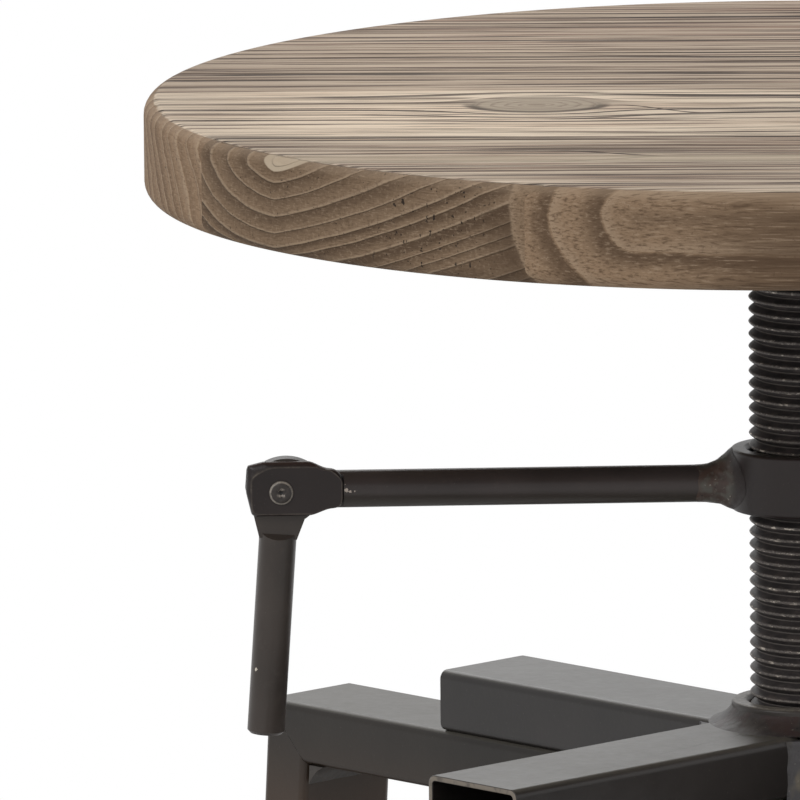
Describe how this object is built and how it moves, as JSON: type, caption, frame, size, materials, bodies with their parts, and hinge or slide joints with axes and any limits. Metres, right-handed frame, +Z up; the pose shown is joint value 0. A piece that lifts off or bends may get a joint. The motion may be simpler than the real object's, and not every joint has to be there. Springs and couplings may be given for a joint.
{
  "type": "adjustable bar stool",
  "caption": "Round wooden seat on a threaded lift screw with a cranked ring nut, on a welded frame of crossed rectangular tubes with splayed legs and a square footrest.",
  "frame": {"origin": "on the floor under the lift screw's axis", "axes": "+Z up; -Y is the front, which the picture looks at from slightly above; the crank points to -X"},
  "size_m": [0.3328, 0.3328, 0.6917],
  "materials": {
    "seat_wood": "washed greyish-brown pine with open grain, matt",
    "dark_paint": "dark grey-brown satin paint on steel, with small chips",
    "screw_steel": "dark painted steel thread, rubbed on its crests",
    "weld_metal": "painted weld beads, lighter where the paint is thin",
    "fastener_steel": "dark blackened steel",
    "foot_plastic": "black moulded plastic"
  },
  "bodies": {
    "frame": {"hub": "dark_paint", "hub_weld": "weld_metal", "cross_arm_back_left": "dark_paint", "cross_arm_front_left": "dark_paint", "cross_arm_front_right": "dark_paint", "cross_arm_back_right": "dark_paint", "cross_welds": "weld_metal", "rail_long": "dark_paint", "rail_front": "dark_paint", "rail_back": "dark_paint", "corner_welds": "weld_metal", "leg_back_left": "dark_paint", "leg_front_left": "dark_paint", "leg_front_right": "dark_paint", "leg_back_right": "dark_paint", "footrest_front": "dark_paint", "footrest_right": "dark_paint", "footrest_back": "dark_paint", "footrest_left": "dark_paint", "footrest_welds": "weld_metal", "foot_back_left": "foot_plastic", "foot_front_left": "foot_plastic", "foot_front_right": "foot_plastic", "foot_back_right": "foot_plastic"},
    "stop": {"stop_washer": "fastener_steel"},
    "seat": {"seat_stave_1": "seat_wood", "seat_stave_2": "seat_wood", "seat_stave_3": "seat_wood", "seat_stave_4": "seat_wood", "seat_stave_5": "seat_wood", "seat_plate": "dark_paint", "wood_screws": "fastener_steel", "plate_weld": "weld_metal", "lift_screw": "screw_steel", "stop_bolt": "fastener_steel"},
    "nut": {"lock_nut": "dark_paint"},
    "crank": {"crank_arm": "dark_paint", "crank_weld": "weld_metal", "cheek_front": "dark_paint", "cheek_back": "dark_paint", "fold_pin": "fastener_steel"},
    "handle": {"crank_handle": "dark_paint"}
  },
  "joints": [
    {"name": "seat_lift", "type": "slide", "parent": "frame", "child": "stop", "axis": [0, 0, 1], "range_m": [-0.0381, 0.0889]},
    {"name": "seat_spin", "type": "hinge", "parent": "stop", "child": "seat", "pos_m": [0, 0, 0.41], "axis": [0, 0, 1], "range_deg": [-10080, 4320]},
    {"name": "nut_lift", "type": "slide", "parent": "frame", "child": "nut", "axis": [0, 0, 1], "range_m": [-0.0127, 0.01588]},
    {"name": "crank_spin", "type": "hinge", "parent": "nut", "child": "crank", "pos_m": [0, 0, 0.5918], "axis": [0, 0, 1], "range_deg": [-1800, 1440]},
    {"name": "handle_fold", "type": "hinge", "parent": "crank", "child": "handle", "pos_m": [-0.13124, -0.00826, 0.5918], "axis": [-0.0628, 0.998, 0], "range_deg": [-28, 90]}
  ],
  "couplings": [
    {"joint": "seat_lift", "follows": "seat_spin", "m_per_rad": -0.00050532},
    {"joint": "nut_lift", "follows": "crank_spin", "m_per_rad": -0.00050532}
  ]
}
